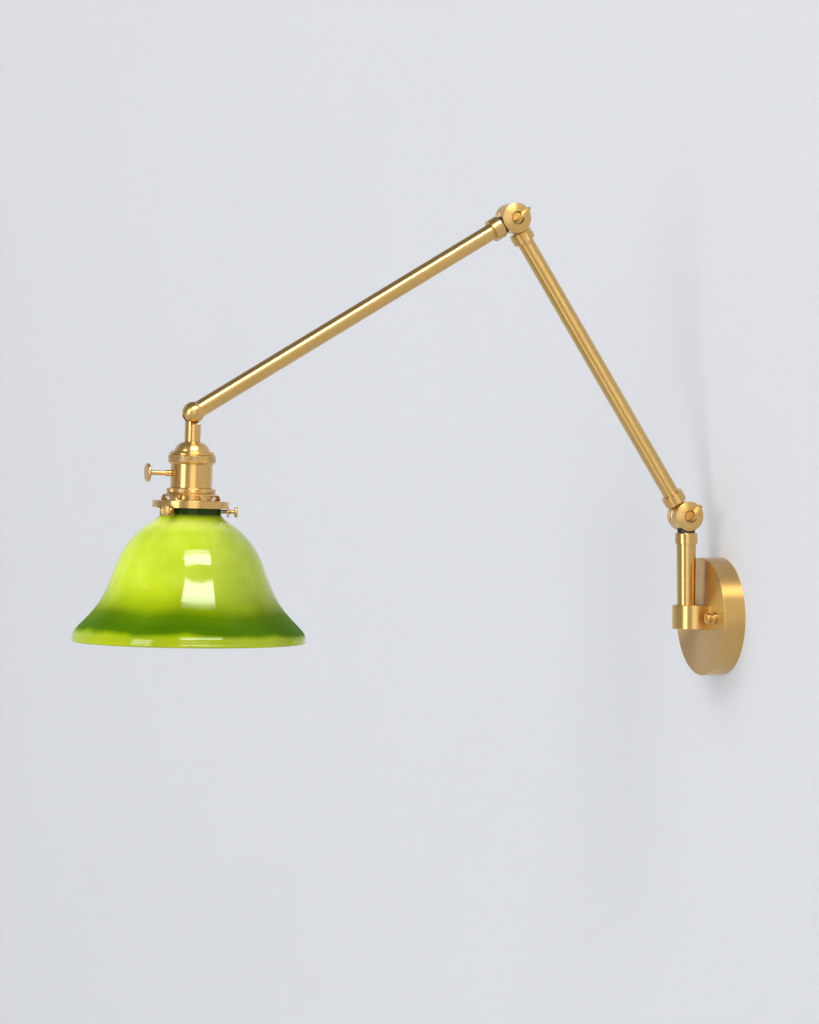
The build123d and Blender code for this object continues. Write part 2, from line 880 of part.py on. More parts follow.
def shade_fitter():
    """Pressed crown with six large vents, a shelf, a band and three lugs for the screws."""
    top, shelf = -fitter_top, -band_top
    band_foot, lug_foot = -band_end, -band_end - lug_height
    t = fitter_sheet
    bore = shell_thread_r + fit_gap
    inner_r = fitter_band_r - t
    outer_start, outer_end = (fitter_collar_r + t, top), (fitter_skirt_r, shelf)
    inner_start, inner_end = (fitter_collar_r, top - t), (fitter_skirt_r - t, shelf - t)
    lines = [
        Polyline(inner_start, (bore, top - t), (bore, top), outer_start),
        fitter_skirt(outer_start, outer_end),
        Polyline(
            outer_end,
            (fitter_band_r, shelf),
            (fitter_band_r, lug_foot),
            (inner_r, lug_foot),
            (inner_r, shelf - t),
            inner_end,
        ),
        fitter_skirt(inner_end, inner_start),
    ]
    body = revolve(Plane.XZ * make_face(lines), Axis.Z)
    opening = Plane.YZ * SlotOverall(fitter_vent_width, fitter_vent_height)
    vent = Pos(bore, 0, (top - t + shelf) / 2) * extrude(opening, fitter_band_r - bore)
    for number in range(fitter_vents):
        body -= outward(shade_screw_angle + (number + 0.5) * 360 / fitter_vents) * vent
    # The lugs are what is left of the band's lower part.
    waste = ring(fitter_band_r + t, inner_r - t, lug_foot - t, band_foot)
    lug = block((0, -lug_width / 2, lug_foot), (fitter_band_r + 2 * t, lug_width / 2, band_foot + t))
    lug = fillet(lug.edges().filter_by(Axis.X).group_by(Axis.Z)[0], lug_round)
    hole = TO_KEYS * rod(shade_screw_r + running_gap, inner_r - t, fitter_band_r + t)
    bearings = [shade_screw_bearing(number) for number in range(shade_screw_count)]
    for bearing in bearings:
        waste -= outward(bearing) * lug
    body -= waste
    for bearing in bearings:
        body -= outward(bearing) * Pos(0, 0, -screw_axis) * hole
    return HEAD * body


def shade_screw_bearing(number):
    return shade_screw_angle + number * 360 / shade_screw_count


def shade_screw(number):
    """Thumbscrew through a lug; its tip bears on the glass neck under the lip."""
    tip = glass_neck_r + shade_screw_tip_gap
    boss = fitter_band_r + sweep_gap
    waist = boss + shade_screw_boss
    head = waist + shade_screw_waist
    end = head + shade_screw_head
    outline = [
        (0, tip),
        (shade_screw_r, tip),
        (shade_screw_r, boss),
        (shade_screw_boss_r, boss),
        (shade_screw_waist_r, waist),
        (shade_screw_waist_r, head),
        (shade_screw_head_r, head),
        (shade_screw_head_r, end),
        (0, end),
    ]
    rounds = [(6, shade_screw_head_round), (7, shade_screw_head_round)]
    turn = outward(shade_screw_bearing(number))
    return HEAD * turn * Pos(0, 0, -screw_axis) * TO_KEYS * turned(outline, rounds)


def glass_shade():
    """Bell of even wall with a rolled lip at its neck and a round rim, tilted about the screws."""
    lip_top, neck_top_z, neck_end = -glass_top, -glass_neck_top, -glass_neck_end
    rim_z = -glass_rim
    rim_start = rim_z + 2 * glass_rim_round
    inner_neck = (glass_neck_r - glass_wall, neck_end - glass_wall / 2)
    out, down = glass_rim_r - glass_neck_r, rim_z - neck_end
    neck, rim = (glass_neck_r, neck_end), (glass_rim_r, rim_start)
    inner_rim = (glass_rim_r - glass_wall, rim_start)
    line = [neck, *((glass_neck_r + out * a, neck_end + down * b) for a, b in bell_shares), rim]
    inner_line = []
    for before, here, after in zip(line, line[1:], line[2:]):
        along = Vector(after[0] - before[0], after[1] - before[1]).normalized()
        inner_line.append((here[0] + along.Y * glass_wall, here[1] - along.X * glass_wall))
    back_up = [tuple(-part for part in slope) for slope in (bell_rim_slope, bell_neck_slope)]
    lines = [
        Polyline(
            inner_neck,
            (inner_neck[0], lip_top),
            (glass_lip_r, lip_top),
            (glass_lip_r, neck_top_z),
            (glass_neck_r, neck_top_z),
            neck,
        ),
        Spline(*line, tangents=(bell_neck_slope, bell_rim_slope)),
        ThreePointArc(rim, (glass_rim_r - glass_wall / 2, rim_z), inner_rim),
        Spline(inner_rim, *reversed(inner_line), inner_neck, tangents=back_up),
    ]
    lip = [((glass_lip_r, lip_top), glass_lip_round), ((glass_lip_r, neck_top_z), glass_lip_round)]
    bell = Pos(0, 0, screw_axis) * revolve(Plane.XZ * rounded(make_face(lines), lip), Axis.Z)
    return HEAD * Pos(0, 0, -screw_axis) * Rot(glass_seat_tilt, 0, 0) * bell


# ---------------------------------------------------------------- write every piece
pieces = {
    "canopy": canopy(),
    "box_strap": box_strap(),
    "fixture_strap": fixture_strap(),
    "strap_screw": strap_screw(),
    "ground_screw": ground_screw(),
    "canopy_studs": canopy_studs(),
    "canopy_nuts": canopy_nuts(),
    "stem_bracket": stem_bracket(),
    "bracket_nipple": bracket_nipple(),
    "nipple_nut": nipple_nut(),
    "stem_tube": stem_tube(),
    "stem_retainer": stem_retainer(),
    "stem_ferrule": stem_ferrule(),
    "stem_spacer": KNUCKLE * Rot(180, 0, 0) * spacer(stem_ferrule_gap),
    "lower_knuckle_front": lower_knuckle_front(),
    "lower_knuckle_back": lower_knuckle_back(),
    "lower_friction_washer": KNUCKLE * friction_washer(),
    "lower_key": KNUCKLE * key(lower_key_angle),
    "lower_arm_tube": lower_arm_tube(),
    "lower_arm_foot_ferrule": lower_arm_foot_ferrule(),
    "lower_arm_head_ferrule": lower_arm_head_ferrule(),
    "elbow_back": elbow_back(),
    "elbow_friction_washer": ELBOW * friction_washer(),
    "elbow_key": ELBOW * key(elbow_key_angle),
    "elbow_front": elbow_front(),
    "upper_arm_spacer": UPPER_ARM * spacer(upper_ferrule_gap),
    "upper_arm_ferrule": upper_arm_ferrule(),
    "upper_arm_tube": upper_arm_tube(),
    "swivel_ball": swivel_ball(),
    "ball_pin": ball_pin(),
    "swivel_neck": swivel_neck(),
    "socket_cap": socket_cap(),
    "cap_set_screw": cap_set_screw(),
    "cap_ring": cap_ring(),
    "socket_shell": socket_shell(),
    "insulating_liner": insulating_liner(),
    "lampholder_core": lampholder_core(),
    "screw_shell": screw_shell(),
    "centre_contact": centre_contact(),
    "switch_knob": switch_knob(),
    "shade_ring": shade_ring(),
    "lock_ring": lock_ring(),
    "shade_fitter": shade_fitter(),
    "glass_shade": glass_shade(),
}
for number in range(shade_screw_count):
    pieces[f"shade_screw_{number + 1}"] = shade_screw(number)

for name, piece in pieces.items():
    export_step(piece, f"parts/{name}.step")
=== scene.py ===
from collections import namedtuple
import json
import math

import bpy
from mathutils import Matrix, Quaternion, Vector


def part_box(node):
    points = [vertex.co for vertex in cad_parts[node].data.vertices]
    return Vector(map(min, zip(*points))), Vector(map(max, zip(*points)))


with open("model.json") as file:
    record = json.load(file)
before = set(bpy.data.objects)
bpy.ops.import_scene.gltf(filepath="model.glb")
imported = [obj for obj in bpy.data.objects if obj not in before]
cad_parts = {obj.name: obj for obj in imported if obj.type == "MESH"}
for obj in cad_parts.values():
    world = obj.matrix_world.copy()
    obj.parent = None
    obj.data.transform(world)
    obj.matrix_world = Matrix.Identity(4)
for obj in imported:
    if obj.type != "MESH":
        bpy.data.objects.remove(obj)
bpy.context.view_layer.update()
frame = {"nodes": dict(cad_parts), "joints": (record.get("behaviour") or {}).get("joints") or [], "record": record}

MM = 0.001

# ---------------------------------------------------------------- places, from the frame
joints = {joint["name"]: joint for joint in frame["joints"]}
mounts = {mount["name"]: mount for mount in frame["record"]["mounts"]}
PLATE_AXIS = Vector((0, 1, 0))
KEY_AXIS = Vector((1, 0, 0))
UP = Vector((0, 0, 1))
PLATE = Vector((0, 0, 0))
STEM = Vector(joints["stem_swivel"]["pos_m"])
KNUCKLE = Vector(joints["lower_arm_tilt"]["pos_m"])
ELBOW = Vector(joints["elbow_fold"]["pos_m"])
BALL = Vector(joints["head_tilt"]["pos_m"])
KNOB = Vector(joints["switch_turn"]["pos_m"])
KNOB_AXIS = Vector(joints["switch_turn"]["axis"])
HEAD_DOWN = Vector(mounts["bulb_socket"]["axis"])
LOWER_ARM_AXIS = (ELBOW - KNUCKLE).normalized()
UPPER_ARM_AXIS = (BALL - ELBOW).normalized()


def middle(node):
    """Centre of a node's box."""
    low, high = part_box(node)
    return (low + high) / 2


def reach_along(node, origin, axis):
    """First and last distance of a node's corners from a point, along an axis."""
    obj = frame["nodes"][node]
    along = [(obj.matrix_world @ vertex.co - origin).dot(axis) for vertex in obj.data.vertices]
    return min(along), max(along)


# ---------------------------------------------------------------- node materials
# Where most of a noise's values lie
NOISE_LOW = 0.3
NOISE_HIGH = 0.7
BEVEL_SAMPLES = 4

# A knurled band: teeth round it, the radius that it starts at, its two ends along the axis,
# and the lead of its diamonds, per metre (0 for straight teeth)
Knurl = namedtuple("Knurl", "teeth radius start end lead", defaults=(0.0,))


class Look:
    """A node material under construction: helpers that add nodes and return sockets."""

    def __init__(self, name):
        self.material = bpy.data.materials.new(name)
        self.material.use_nodes = True
        self.tree = self.material.node_tree
        self.shader = self.tree.nodes["Principled BSDF"]
        self.place = self.add("ShaderNodeTexCoord").outputs["Object"]

    def add(self, kind, **settings):
        node = self.tree.nodes.new(kind)
        for key, value in settings.items():
            setattr(node, key, value)
        return node

    def feed(self, socket, value):
        if isinstance(value, bpy.types.NodeSocket):
            self.tree.links.new(value, socket)
        else:
            socket.default_value = value

    def math(self, operation, first, second):
        node = self.add("ShaderNodeMath", operation=operation)
        self.feed(node.inputs[0], first)
        self.feed(node.inputs[1], second)
        return node.outputs[0]

    def vector(self, operation, first, second=(0, 0, 0), scale=None):
        node = self.add("ShaderNodeVectorMath", operation=operation)
        self.feed(node.inputs[0], first)
        self.feed(node.inputs[1], second)
        if scale is not None:
            self.feed(node.inputs["Scale"], scale)
        return node.outputs["Value" if operation in ("DOT_PRODUCT", "LENGTH") else "Vector"]

    def noise(self, place, scale, detail=2.0, roughness=0.5):
        node = self.add("ShaderNodeTexNoise")
        self.feed(node.inputs["Vector"], place)
        node.inputs["Scale"].default_value = scale
        node.inputs["Detail"].default_value = detail
        node.inputs["Roughness"].default_value = roughness
        return node.outputs["Fac"]

    def ramp(self, value, stops):
        """Colours or greys at positions from 0 to 1."""
        node = self.add("ShaderNodeValToRGB")
        self.feed(node.inputs["Fac"], value)
        elements = node.color_ramp.elements
        while len(elements) < len(stops):
            elements.new(0.5)
        for element, (position, colour) in zip(elements, stops):
            element.position = position
            if isinstance(colour, (int, float)):
                colour = (colour, colour, colour)
            element.color = (*colour, 1)
        return node.outputs["Color"]

    def mix(self, share, first, second, blend="MIX"):
        node = self.add("ShaderNodeMix", data_type="RGBA", blend_type=blend)
        self.feed(node.inputs["Factor"], share)
        colour_a, colour_b = [s for s in node.inputs if s.type == "RGBA"]
        for socket, value in ((colour_a, first), (colour_b, second)):
            if isinstance(value, tuple):
                value = (*value, 1)
            self.feed(socket, value)
        return [s for s in node.outputs if s.type == "RGBA"][0]

    def span(self, value, from_low, from_high, to_low, to_high):
        """A value from one range taken to another, and held inside it."""
        node = self.add("ShaderNodeMapRange")
        for socket, item in zip(node.inputs, (value, from_low, from_high, to_low, to_high)):
            self.feed(socket, item)
        return node.outputs[0]

    def vary(self, noise, low, high):
        """A noise, most of which lies near its middle, stretched between two values."""
        return self.span(noise, NOISE_LOW, NOISE_HIGH, low, high)

    def twotone(self, noise, first, second):
        """Colours from one to another as a noise rises."""
        return self.ramp(noise, [(NOISE_LOW, first), (NOISE_HIGH, second)])

    def soft_edges(self, radius):
        """Normal that rounds off sharp edges."""
        node = self.add("ShaderNodeBevel", samples=BEVEL_SAMPLES)
        node.inputs["Radius"].default_value = radius
        return node.outputs["Normal"]

    def bump(self, height, distance, strength=1.0, normal=None):
        node = self.add("ShaderNodeBump")
        self.feed(node.inputs["Strength"], strength)
        node.inputs["Distance"].default_value = distance
        self.feed(node.inputs["Height"], height)
        if normal is not None:
            self.feed(node.inputs["Normal"], normal)
        return node.outputs["Normal"]

    def around(self, centre, axis):
        """(height along an axis, distance from it, unit vector out from it)."""
        offset = self.vector("SUBTRACT", self.place, tuple(centre))
        along = self.vector("DOT_PRODUCT", offset, tuple(axis))
        on_axis = self.vector("SCALE", tuple(axis), scale=along)
        out = self.vector("SUBTRACT", offset, on_axis)
        return along, self.vector("LENGTH", out), self.vector("NORMALIZE", out)

    def blend(self, share, first, second):
        """Mix of two shader nodes."""
        node = self.add("ShaderNodeMixShader")
        self.feed(node.inputs[0], share)
        self.feed(node.inputs[1], first.outputs[0])
        self.feed(node.inputs[2], second.outputs[0])
        return node

    def within(self, value, low, high):
        """1 between two values, 0 outside."""
        above = self.math("GREATER_THAN", value, low)
        return self.math("MULTIPLY", above, self.math("LESS_THAN", value, high))

    def wave(self, value):
        """Triangle wave between 0 and 1, with a period of 2."""
        return self.math("PINGPONG", value, 1.0)

    def knurl(self, along, reach, out, axis, cut):
        """Height of a knurled band round an axis, from 0 to 1."""
        side = axis.orthogonal().normalized()
        across = self.vector("DOT_PRODUCT", out, tuple(side))
        other = self.vector("DOT_PRODUCT", out, tuple(axis.cross(side)))
        turn = self.math("MULTIPLY", self.math("ARCTAN2", other, across), cut.teeth / math.pi)
        climb = self.math("MULTIPLY", along, cut.lead)
        first = self.wave(self.math("ADD", turn, climb))
        second = self.wave(self.math("SUBTRACT", turn, climb))
        height = self.math("MINIMUM", first, second)
        mask = self.within(along, cut.start, cut.end)
        mask = self.math("MULTIPLY", mask, self.math("GREATER_THAN", reach, cut.radius))
        return self.math("MULTIPLY", height, mask)


BRASS = (0.69, 0.42, 0.108)
BRASS_DEEP = (0.54, 0.28, 0.05)
DEEP_SHARE = 0.25
TARNISH = [(0.38, 0.0), (0.75, 1.0)]
PATCH_ROUGHNESS = 0.03
LACQUER_WEIGHT = 0.7
LACQUER_ROUGHNESS = 0.2
LACQUER_IOR = 1.75
EDGE = 0.3 * MM
SEAM_COLOUR = (0.12, 0.06, 0.02)
SEAM_HALF = 0.25 * MM
SEAM_SHARE = 0.8
# Turned marks: how many to a metre, how they vary round the axis, their height and strength,
# and what they do to the colour and the roughness
MARKS_SCALE = 2600.0
MARKS_ROUND = 0.5
MARKS_HEIGHT = 0.012 * MM
MARKS_STRENGTH = 0.6
MARKS_DARK = 0.94
MARKS_LIGHT = 1.05
MARKS_ROUGHNESS = 0.02
KNURL_DEPTH = 0.4 * MM


def brass(name, centre, axis, roughness=0.3, cut=None, mirrored=False, seam=None, spread=0.8):
    """Satin brass turned about an axis, under lacquer: fine marks run round it, and its sheen
    is drawn out along it, by spread from 0 to 1. cut is a Knurl. mirrored shares one axis
    between two pieces at +X and -X. seam is where along the axis a dark hairline runs."""
    look = Look(name)
    if mirrored:
        look.place = look.vector("ABSOLUTE", look.place)
    along, reach, out = look.around(centre, axis)
    shift = look.math("MULTIPLY", look.math("ADD", along, reach), MARKS_SCALE)
    marks_place = look.vector("SCALE", out, scale=MARKS_ROUND)
    marks_place = look.vector("ADD", marks_place, look.vector("SCALE", tuple(axis), scale=shift))
    marks = look.noise(marks_place, scale=1.0, detail=3.0, roughness=0.65)
    cloud = look.noise(look.place, scale=26.0, detail=4.0, roughness=0.6)
    patch = look.noise(look.place, scale=7.0, detail=3.0, roughness=0.55)
    tarnish = look.math("MULTIPLY", look.ramp(cloud, TARNISH), DEEP_SHARE)
    colour = look.mix(tarnish, BRASS, BRASS_DEEP)
    colour = look.mix(1.0, colour, look.vary(marks, MARKS_DARK, MARKS_LIGHT), "MULTIPLY")
    if seam:
        line = look.within(along, seam - SEAM_HALF, seam + SEAM_HALF)
        colour = look.mix(look.math("MULTIPLY", line, SEAM_SHARE), colour, SEAM_COLOUR)
    look.feed(look.shader.inputs["Base Color"], colour)
    look.shader.inputs["Metallic"].default_value = 1.0
    look.shader.inputs["Anisotropic"].default_value = spread
    look.shader.inputs["Coat Weight"].default_value = LACQUER_WEIGHT
    look.shader.inputs["Coat Roughness"].default_value = LACQUER_ROUGHNESS
    look.shader.inputs["Coat IOR"].default_value = LACQUER_IOR
    rough = look.math("ADD", look.vary(patch, roughness - PATCH_ROUGHNESS,
                                       roughness + PATCH_ROUGHNESS),
                      look.vary(marks, -MARKS_ROUGHNESS, MARKS_ROUGHNESS))
    look.feed(look.shader.inputs["Roughness"], rough)
    turned = look.add("ShaderNodeVectorTransform", vector_type="VECTOR", convert_from="OBJECT",
                      convert_to="WORLD")
    look.feed(turned.inputs[0], look.vector("CROSS_PRODUCT", tuple(axis), out))
    facing = look.add("ShaderNodeNewGeometry").outputs["Normal"]
    drawn = look.vector("CROSS_PRODUCT", facing, turned.outputs[0])
    look.feed(look.shader.inputs["Tangent"], drawn)
    normal = look.bump(marks, MARKS_HEIGHT, MARKS_STRENGTH, look.soft_edges(EDGE))
    if cut:
        teeth = look.knurl(along, reach, out, axis, cut)
        normal = look.bump(teeth, KNURL_DEPTH, normal=normal)
    look.feed(look.shader.inputs["Normal"], normal)
    return look.material


ZINC_DARK = (0.50, 0.51, 0.53)
ZINC_LIGHT = (0.62, 0.62, 0.62)
ZINC_GLOSSY = 0.3
ZINC_DULL = 0.42
CRYSTAL_SCALE = 420.0
COLOUR_MEAN = (0.33, 0.33, 0.34)
GRAIN_HEIGHT = 0.02 * MM


def plated_steel(name):
    """Zinc plate: small crystals that differ in gloss, under a haze."""
    look = Look(name)
    crystals = look.add("ShaderNodeTexVoronoi")
    look.feed(crystals.inputs["Vector"], look.place)
    crystals.inputs["Scale"].default_value = CRYSTAL_SCALE
    spangle = look.vector("DOT_PRODUCT", crystals.outputs["Color"], COLOUR_MEAN)
    haze = look.noise(look.place, scale=60.0, detail=4.0)
    look.feed(look.shader.inputs["Base Color"], look.twotone(haze, ZINC_DARK, ZINC_LIGHT))
    look.shader.inputs["Metallic"].default_value = 1.0
    look.feed(look.shader.inputs["Roughness"],
              look.span(spangle, 0.2, 0.8, ZINC_GLOSSY, ZINC_DULL))
    look.feed(look.shader.inputs["Normal"], look.bump(haze, GRAIN_HEIGHT, 0.4))
    return look.material


def moulded(name, dark, light, roughness, grain, metallic=0.0):
    """Plain moulded, plated or glazed stock: two close colours, a fine grain and its bump."""
    look = Look(name)
    cloud = look.noise(look.place, scale=90.0, detail=3.0)
    speck = look.noise(look.place, scale=grain)
    look.feed(look.shader.inputs["Base Color"], look.twotone(cloud, dark, light))
    look.shader.inputs["Metallic"].default_value = metallic
    look.feed(look.shader.inputs["Roughness"],
              look.vary(speck, roughness - 0.05, roughness + 0.07))
    look.feed(look.shader.inputs["Normal"], look.bump(speck, GRAIN_HEIGHT, 0.5))
    return look.material


# Glass colour by share of the shade's height, from the neck's lip down to the rim. Painted light is in these
# bands: a painted shadow on the neck under the fitter, a pale painted sheen where the bell turns at its crest, and
# painted shade in the dark band above the rim, which turns lighter again at the rim
GLASS_BANDS_AND_PAINTED_LIGHT = [
    (0.00, (0.016, 0.040, 0.002)),
    (0.078, (0.026, 0.056, 0.001)),
    (0.106, (0.54, 0.70, 0.020)),
    (0.145, (0.74, 0.86, 0.12)),
    (0.21, (0.54, 0.69, 0.018)),
    (0.50, (0.57, 0.72, 0.013)),
    (0.61, (0.47, 0.60, 0.003)),
    (0.705, (0.30, 0.41, 0.001)),
    (0.78, (0.115, 0.215, 0.001)),
    (0.85, (0.074, 0.178, 0.001)),
    (0.89, (0.082, 0.188, 0.001)),
    (0.93, (0.40, 0.53, 0.001)),
    (1.00, (0.52, 0.58, 0.001)),
]
GLASS_CREST = (0.80, 0.90, 0.14)
# The gloss by the same share: duller on the neck and on the dark band above the rim
GLASS_GLOSS = [(0.0, 0.3), (0.09, 0.3), (0.13, 1.0), (0.635, 1.0), (0.705, 0.42), (0.776, 0.12),
               (0.905, 0.12), (0.94, 1.0)]
# How far clouds shift the bands, and the shares between which that sets in below the neck
BAND_DRIFT = 0.03
DRIFT_FROM = 0.1
DRIFT_FULL = 0.4
# Where pale swirls show, and how strong they get
CREST_TOP = 0.2
CREST_END = 0.6
CREST_SHARE = 0.3
# How cloudy patches in the glass scale its colour
PATCH_DARK = 0.80
PATCH_LIGHT = 1.02
GLASS_IOR = 1.5
RIPPLE_HEIGHT = 0.4 * MM


def green_glass(name):
    """Cased glass: bands of colour down the shade, with painted shadow, painted sheen and painted shade among
    them, shifted by slow clouds, under a clear gloss.
    """
    look = Look(name)
    top, end = reach_along("glass_shade", BALL, HEAD_DOWN)
    along = look.around(BALL, HEAD_DOWN)[0]
    share = look.span(along, top, end, 0.0, 1.0)
    cloud = look.noise(look.place, scale=22.0, roughness=0.4)
    swirl = look.noise(look.place, scale=48.0)
    drift = look.math("MULTIPLY", look.span(cloud, 0.25, 0.75, -BAND_DRIFT, BAND_DRIFT),
                      look.span(share, DRIFT_FROM, DRIFT_FULL, 0.0, 1.0))
    # The band ramp puts painted shadow on the neck, a painted sheen at the crest and painted shade above the rim
    # into the glass colour
    colour = look.ramp(look.math("ADD", share, drift), GLASS_BANDS_AND_PAINTED_LIGHT)
    patch = look.noise(look.place, scale=17.0, detail=1.0, roughness=0.4)
    patch = look.span(patch, 0.35, 0.62, PATCH_DARK, PATCH_LIGHT)
    colour = look.mix(1.0, colour, patch, "MULTIPLY")
    crest = look.math("MULTIPLY", look.span(swirl, 0.4, 0.8, 0.0, CREST_SHARE),
                      look.within(share, CREST_TOP, CREST_END))
    look.feed(look.shader.inputs["Base Color"], look.mix(crest, colour, GLASS_CREST))
    look.shader.inputs["Roughness"].default_value = 0.5
    look.shader.inputs["Specular IOR Level"].default_value = 0.0
    look.feed(look.shader.inputs["Coat Weight"], look.ramp(share, GLASS_GLOSS))
    look.shader.inputs["Coat Roughness"].default_value = 0.07
    look.shader.inputs["Coat IOR"].default_value = GLASS_IOR
    ripple = look.noise(look.place, scale=30.0, roughness=0.4)
    for socket, strength in (("Normal", 0.12), ("Coat Normal", 0.07)):
        look.feed(look.shader.inputs[socket], look.bump(ripple, RIPPLE_HEIGHT, strength))
    return look.material


def dress(material, *nodes):
    """Give a material to every slot of the named nodes."""
    for name in nodes:
        for slot in frame["nodes"][name].material_slots:
            slot.material = material


# ---------------------------------------------------------------- plain brass
dress(brass("brass_plate", PLATE, PLATE_AXIS, roughness=0.42, spread=0.94), "canopy")
dress(brass("brass_bracket", STEM, UP), "stem_bracket")
dress(brass("brass_stem", STEM, UP), "stem_tube", "stem_ferrule")
dress(brass("brass_knuckle", KNUCKLE, KEY_AXIS, roughness=0.38, spread=0.5),
      "lower_knuckle_front", "lower_knuckle_back", "lower_key")
dress(brass("brass_elbow", ELBOW, KEY_AXIS, roughness=0.38, spread=0.5),
      "elbow_back", "elbow_front", "elbow_key")
dress(brass("brass_lower_arm", middle("lower_arm_tube"), LOWER_ARM_AXIS, roughness=0.34,
            spread=0.99),
      "lower_arm_tube", "lower_arm_foot_ferrule", "lower_arm_head_ferrule")
dress(brass("brass_upper_arm", ELBOW, UPPER_ARM_AXIS, roughness=0.36, spread=0.94),
      "upper_arm_tube", "upper_arm_ferrule")
dress(brass("brass_ball", BALL, UPPER_ARM_AXIS), "swivel_ball")
neck_end = reach_along("swivel_neck", BALL, HEAD_DOWN)[1]
dress(brass("brass_head", BALL, HEAD_DOWN, seam=neck_end),
      "swivel_neck", "socket_cap", "socket_shell", "screw_shell", "centre_contact",
      "lock_ring", "shade_fitter")
dress(brass("brass_knob", KNOB, KNOB_AXIS), "switch_knob")

# ---------------------------------------------------------------- knurled brass
CAP_RING_COLLAR = 4.2 * MM
CAP_RING_FOOT = 2.2 * MM
SHADE_RING_BEAD = 0.7 * MM
NUT_CUT = 0.5 * MM
SCREW_HEAD_LENGTH = 3.0 * MM

ring_top, ring_end = reach_along("cap_ring", BALL, HEAD_DOWN)
cap_ring_cut = Knurl(teeth=72, radius=21.8 * MM, start=ring_top + CAP_RING_COLLAR,
                     end=ring_end - CAP_RING_FOOT, lead=2200.0)
dress(brass("brass_cap_ring", BALL, HEAD_DOWN, cut=cap_ring_cut), "cap_ring")

ring_top, ring_end = reach_along("shade_ring", BALL, HEAD_DOWN)
shade_ring_cut = Knurl(teeth=96, radius=22.3 * MM, start=ring_top + SHADE_RING_BEAD,
                       end=ring_end - SHADE_RING_BEAD)
dress(brass("brass_shade_ring", BALL, HEAD_DOWN, cut=shade_ring_cut), "shade_ring")

nuts_low, nuts_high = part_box("canopy_nuts")
nut_radius = (nuts_high.z - nuts_low.z) / 2
nut_centre = Vector((nuts_high.x - nut_radius, 0, 0))
nut_cut = Knurl(teeth=36, radius=nut_radius - NUT_CUT, start=-nuts_high.y, end=-nuts_low.y)
dress(brass("brass_canopy_nuts", nut_centre, -PLATE_AXIS, cut=nut_cut, mirrored=True),
      "canopy_nuts")

for number in (1, 2, 3):
    name = f"shade_screw_{number}"
    axis = Vector(joints[f"{name}_draw"]["axis"])
    head_end = reach_along(name, middle(name), axis)[1]
    screw_cut = Knurl(teeth=32, radius=4.5 * MM, start=head_end - SCREW_HEAD_LENGTH,
                      end=head_end)
    dress(brass(f"brass_{name}", middle(name), axis, cut=screw_cut), name)

# ---------------------------------------------------------------- steel, plastic and glass
dress(plated_steel("zinc_plated_steel"),
      "box_strap", "fixture_strap", "strap_screw", "nipple_nut", "bracket_nipple", "ball_pin",
      "cap_set_screw", "stem_retainer", "canopy_studs")
dress(moulded("black_nylon", (0.010, 0.010, 0.011), (0.018, 0.018, 0.019),
              roughness=0.45, grain=900.0),
      "stem_spacer", "upper_arm_spacer", "lower_friction_washer", "elbow_friction_washer")
dress(moulded("white_porcelain", (0.80, 0.78, 0.72), (0.86, 0.84, 0.79),
              roughness=0.14, grain=300.0), "lampholder_core")
dress(moulded("fibre_liner", (0.12, 0.075, 0.045), (0.18, 0.12, 0.075),
              roughness=0.7, grain=700.0), "insulating_liner")
dress(moulded("green_plating", (0.02, 0.20, 0.05), (0.04, 0.28, 0.08),
              roughness=0.35, grain=500.0, metallic=0.8), "ground_screw")
dress(green_glass("green_glass"), "glass_shade")

# ---------------------------------------------------------------- wall, floor and lamps
WALL_COLOUR = (0.68, 0.693, 0.716)
WALL_MOTTLE = 0.985
WALL_GLOW = (0.72, 0.737, 0.772)
GLOW_SHARE = 0.28
ROOM = 6.0
WALL_LEFT = 4.5
WALL_RIGHT = 1.4
WALL_TOP = 1.3
FLOOR_Z = -0.9


def plane(name, corners, one_sided=False):
    """Pale plaster, evened out by a faint glow that lights nothing matt. A one-sided plane
    is seen through from behind."""
    mesh = bpy.data.meshes.new(name)
    mesh.from_pydata(corners, [], [tuple(range(len(corners)))])
    obj = bpy.data.objects.new(name, mesh)
    bpy.context.scene.collection.objects.link(obj)
    look = Look(name)
    plaster = look.noise(look.place, scale=3.0, detail=4.0)
    mottled = tuple(WALL_MOTTLE * level for level in WALL_COLOUR)
    look.feed(look.shader.inputs["Base Color"], look.twotone(plaster, mottled, WALL_COLOUR))
    look.shader.inputs["Roughness"].default_value = 0.9
    look.shader.inputs["Specular IOR Level"].default_value = 0.1
    rays = look.add("ShaderNodeLightPath")
    seen = look.math("MAXIMUM", rays.outputs["Is Camera Ray"], rays.outputs["Is Glossy Ray"])
    seen = look.math("MAXIMUM", seen, rays.outputs["Is Transmission Ray"])
    glow = look.add("ShaderNodeEmission")
    glow.inputs["Color"].default_value = (*WALL_GLOW, 1)
    surface = look.blend(look.math("MULTIPLY", seen, GLOW_SHARE), look.shader, glow)
    if one_sided:
        facing = look.add("ShaderNodeNewGeometry").outputs["Backfacing"]
        surface = look.blend(facing, surface, look.add("ShaderNodeBsdfTransparent"))
    look.feed(look.tree.nodes["Material Output"].inputs["Surface"], surface.outputs[0])
    mesh.materials.append(look.material)


plane("wall", [(-WALL_LEFT, 0, FLOOR_Z), (WALL_RIGHT, 0, FLOOR_Z), (WALL_RIGHT, 0, WALL_TOP),
               (-WALL_LEFT, 0, WALL_TOP)], one_sided=True)
plane("floor", [(-WALL_LEFT, -ROOM, FLOOR_Z), (ROOM, -ROOM, FLOOR_Z), (ROOM, 0, FLOOR_Z),
                (-WALL_LEFT, 0, FLOOR_Z)])

LAMP_DISTANCE = 16.0
LAMP_AIM = Vector((0, -0.25, 0.15))


def bearing(azimuth, elevation):
    """Unit vector out from the object, by two angles in degrees."""
    a, e = math.radians(azimuth), math.radians(elevation)
    return Vector((math.sin(a) * math.cos(e), -math.cos(a) * math.cos(e), math.sin(e)))


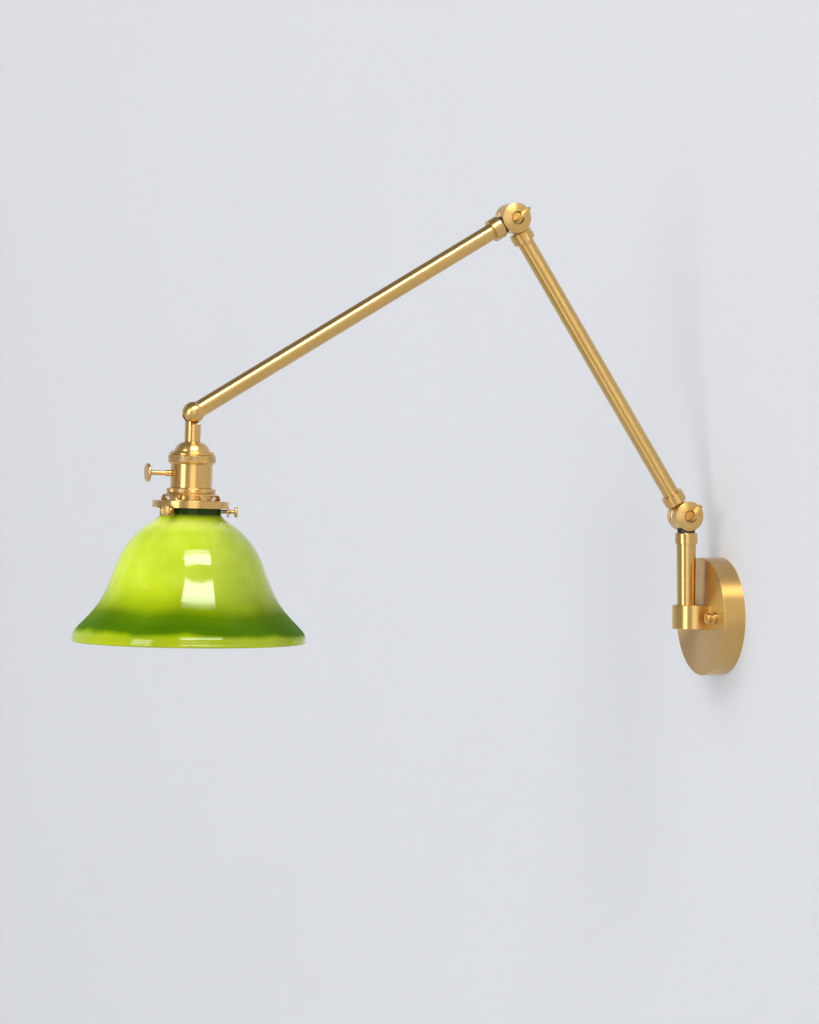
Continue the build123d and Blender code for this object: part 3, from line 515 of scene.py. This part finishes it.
def lamp(name, azimuth, elevation, wide, tall, level, turn=0, lights=True, shows=True):
    """Soft box by its bearing and angular size in degrees, as the object sees it: azimuth 0 is
    straight out from the wall, and 90 on the keys' side. level is its radiance against
    white, and turn its roll in degrees. It lights matt surfaces, shows as a reflection,
    or both."""
    light = bpy.data.lights.new(name, "AREA")
    light.shape = "RECTANGLE"
    light.size = 2 * LAMP_DISTANCE * math.tan(math.radians(wide / 2))
    light.size_y = 2 * LAMP_DISTANCE * math.tan(math.radians(tall / 2))
    light.energy = level * math.pi * light.size * light.size_y
    back = bearing(azimuth, elevation)
    obj = bpy.data.objects.new(name, light)
    obj.location = LAMP_AIM + back * LAMP_DISTANCE
    roll = Quaternion((0, 0, 1), math.radians(turn))
    obj.rotation_euler = (back.to_track_quat("Z", "Y") @ roll).to_euler()
    bpy.context.scene.collection.objects.link(obj)
    obj.visible_diffuse = lights
    obj.visible_glossy = shows


WINDOW_TURN = -4.4
lamp("key", azimuth=25, elevation=10, wide=20, tall=42, level=4.5)
lamp("overhead", azimuth=5, elevation=60, wide=64, tall=36, level=2.9, shows=False)
lamp("window", azimuth=91, elevation=48.8, wide=39, tall=15.4, level=14.0, turn=WINDOW_TURN,
     lights=False)
lamp("window_fade", azimuth=91, elevation=60.5, wide=32, tall=8, level=6.0, turn=WINDOW_TURN,
     lights=False)
lamp("broad_front", azimuth=80, elevation=0, wide=30, tall=60, level=1.15)
lamp("far_side", azimuth=-70, elevation=0, wide=50, tall=70, level=0.25)


# World: an even room that darkens towards the ceiling
SKY = (0.96, 0.97, 1.0)
SKY_LEVEL = 0.38
CEILING_LEVEL = 0.25
# Heights on the unit sphere where the ceiling's darkening begins and ends
CEILING_FROM = 0.5
CEILING_FULL = 0.85
world = bpy.data.worlds.new("studio")
bpy.context.scene.world = world
world.use_nodes = True
tree = world.node_tree
direction = tree.nodes.new("ShaderNodeSeparateXYZ")
tree.links.new(tree.nodes.new("ShaderNodeTexCoord").outputs["Generated"], direction.inputs[0])
level = tree.nodes.new("ShaderNodeMapRange")
for socket, value in zip(level.inputs[1:5],
                         (CEILING_FROM, CEILING_FULL, SKY_LEVEL, CEILING_LEVEL)):
    socket.default_value = value
tree.links.new(direction.outputs["Z"], level.inputs[0])
background = tree.nodes["Background"]
tree.links.new(level.outputs[0], background.inputs["Strength"])
background.inputs["Color"].default_value = (*SKY, 1)

# ---------------------------------------------------------------- camera
CAMERA_PLACE = (3.5486, -1.6116, 0.1908)
CAMERA_AZIMUTH = 70.03
CAMERA_PITCH = 1.32
CAMERA_LENS = 140.6
CAMERA_SENSOR = 36.0
CAMERA_REACH = 100.0
camera = bpy.data.cameras.new("camera")
camera.sensor_width = CAMERA_SENSOR
camera.lens = CAMERA_LENS
camera.clip_end = CAMERA_REACH
camera_object = bpy.data.objects.new("camera", camera)
bpy.context.scene.collection.objects.link(camera_object)
camera_object.location = CAMERA_PLACE
towards = -bearing(CAMERA_AZIMUTH, CAMERA_PITCH)
camera_object.rotation_euler = towards.to_track_quat("-Z", "Y").to_euler()
bpy.context.scene.camera = camera_object
bpy.context.scene.view_settings.view_transform = "Standard"
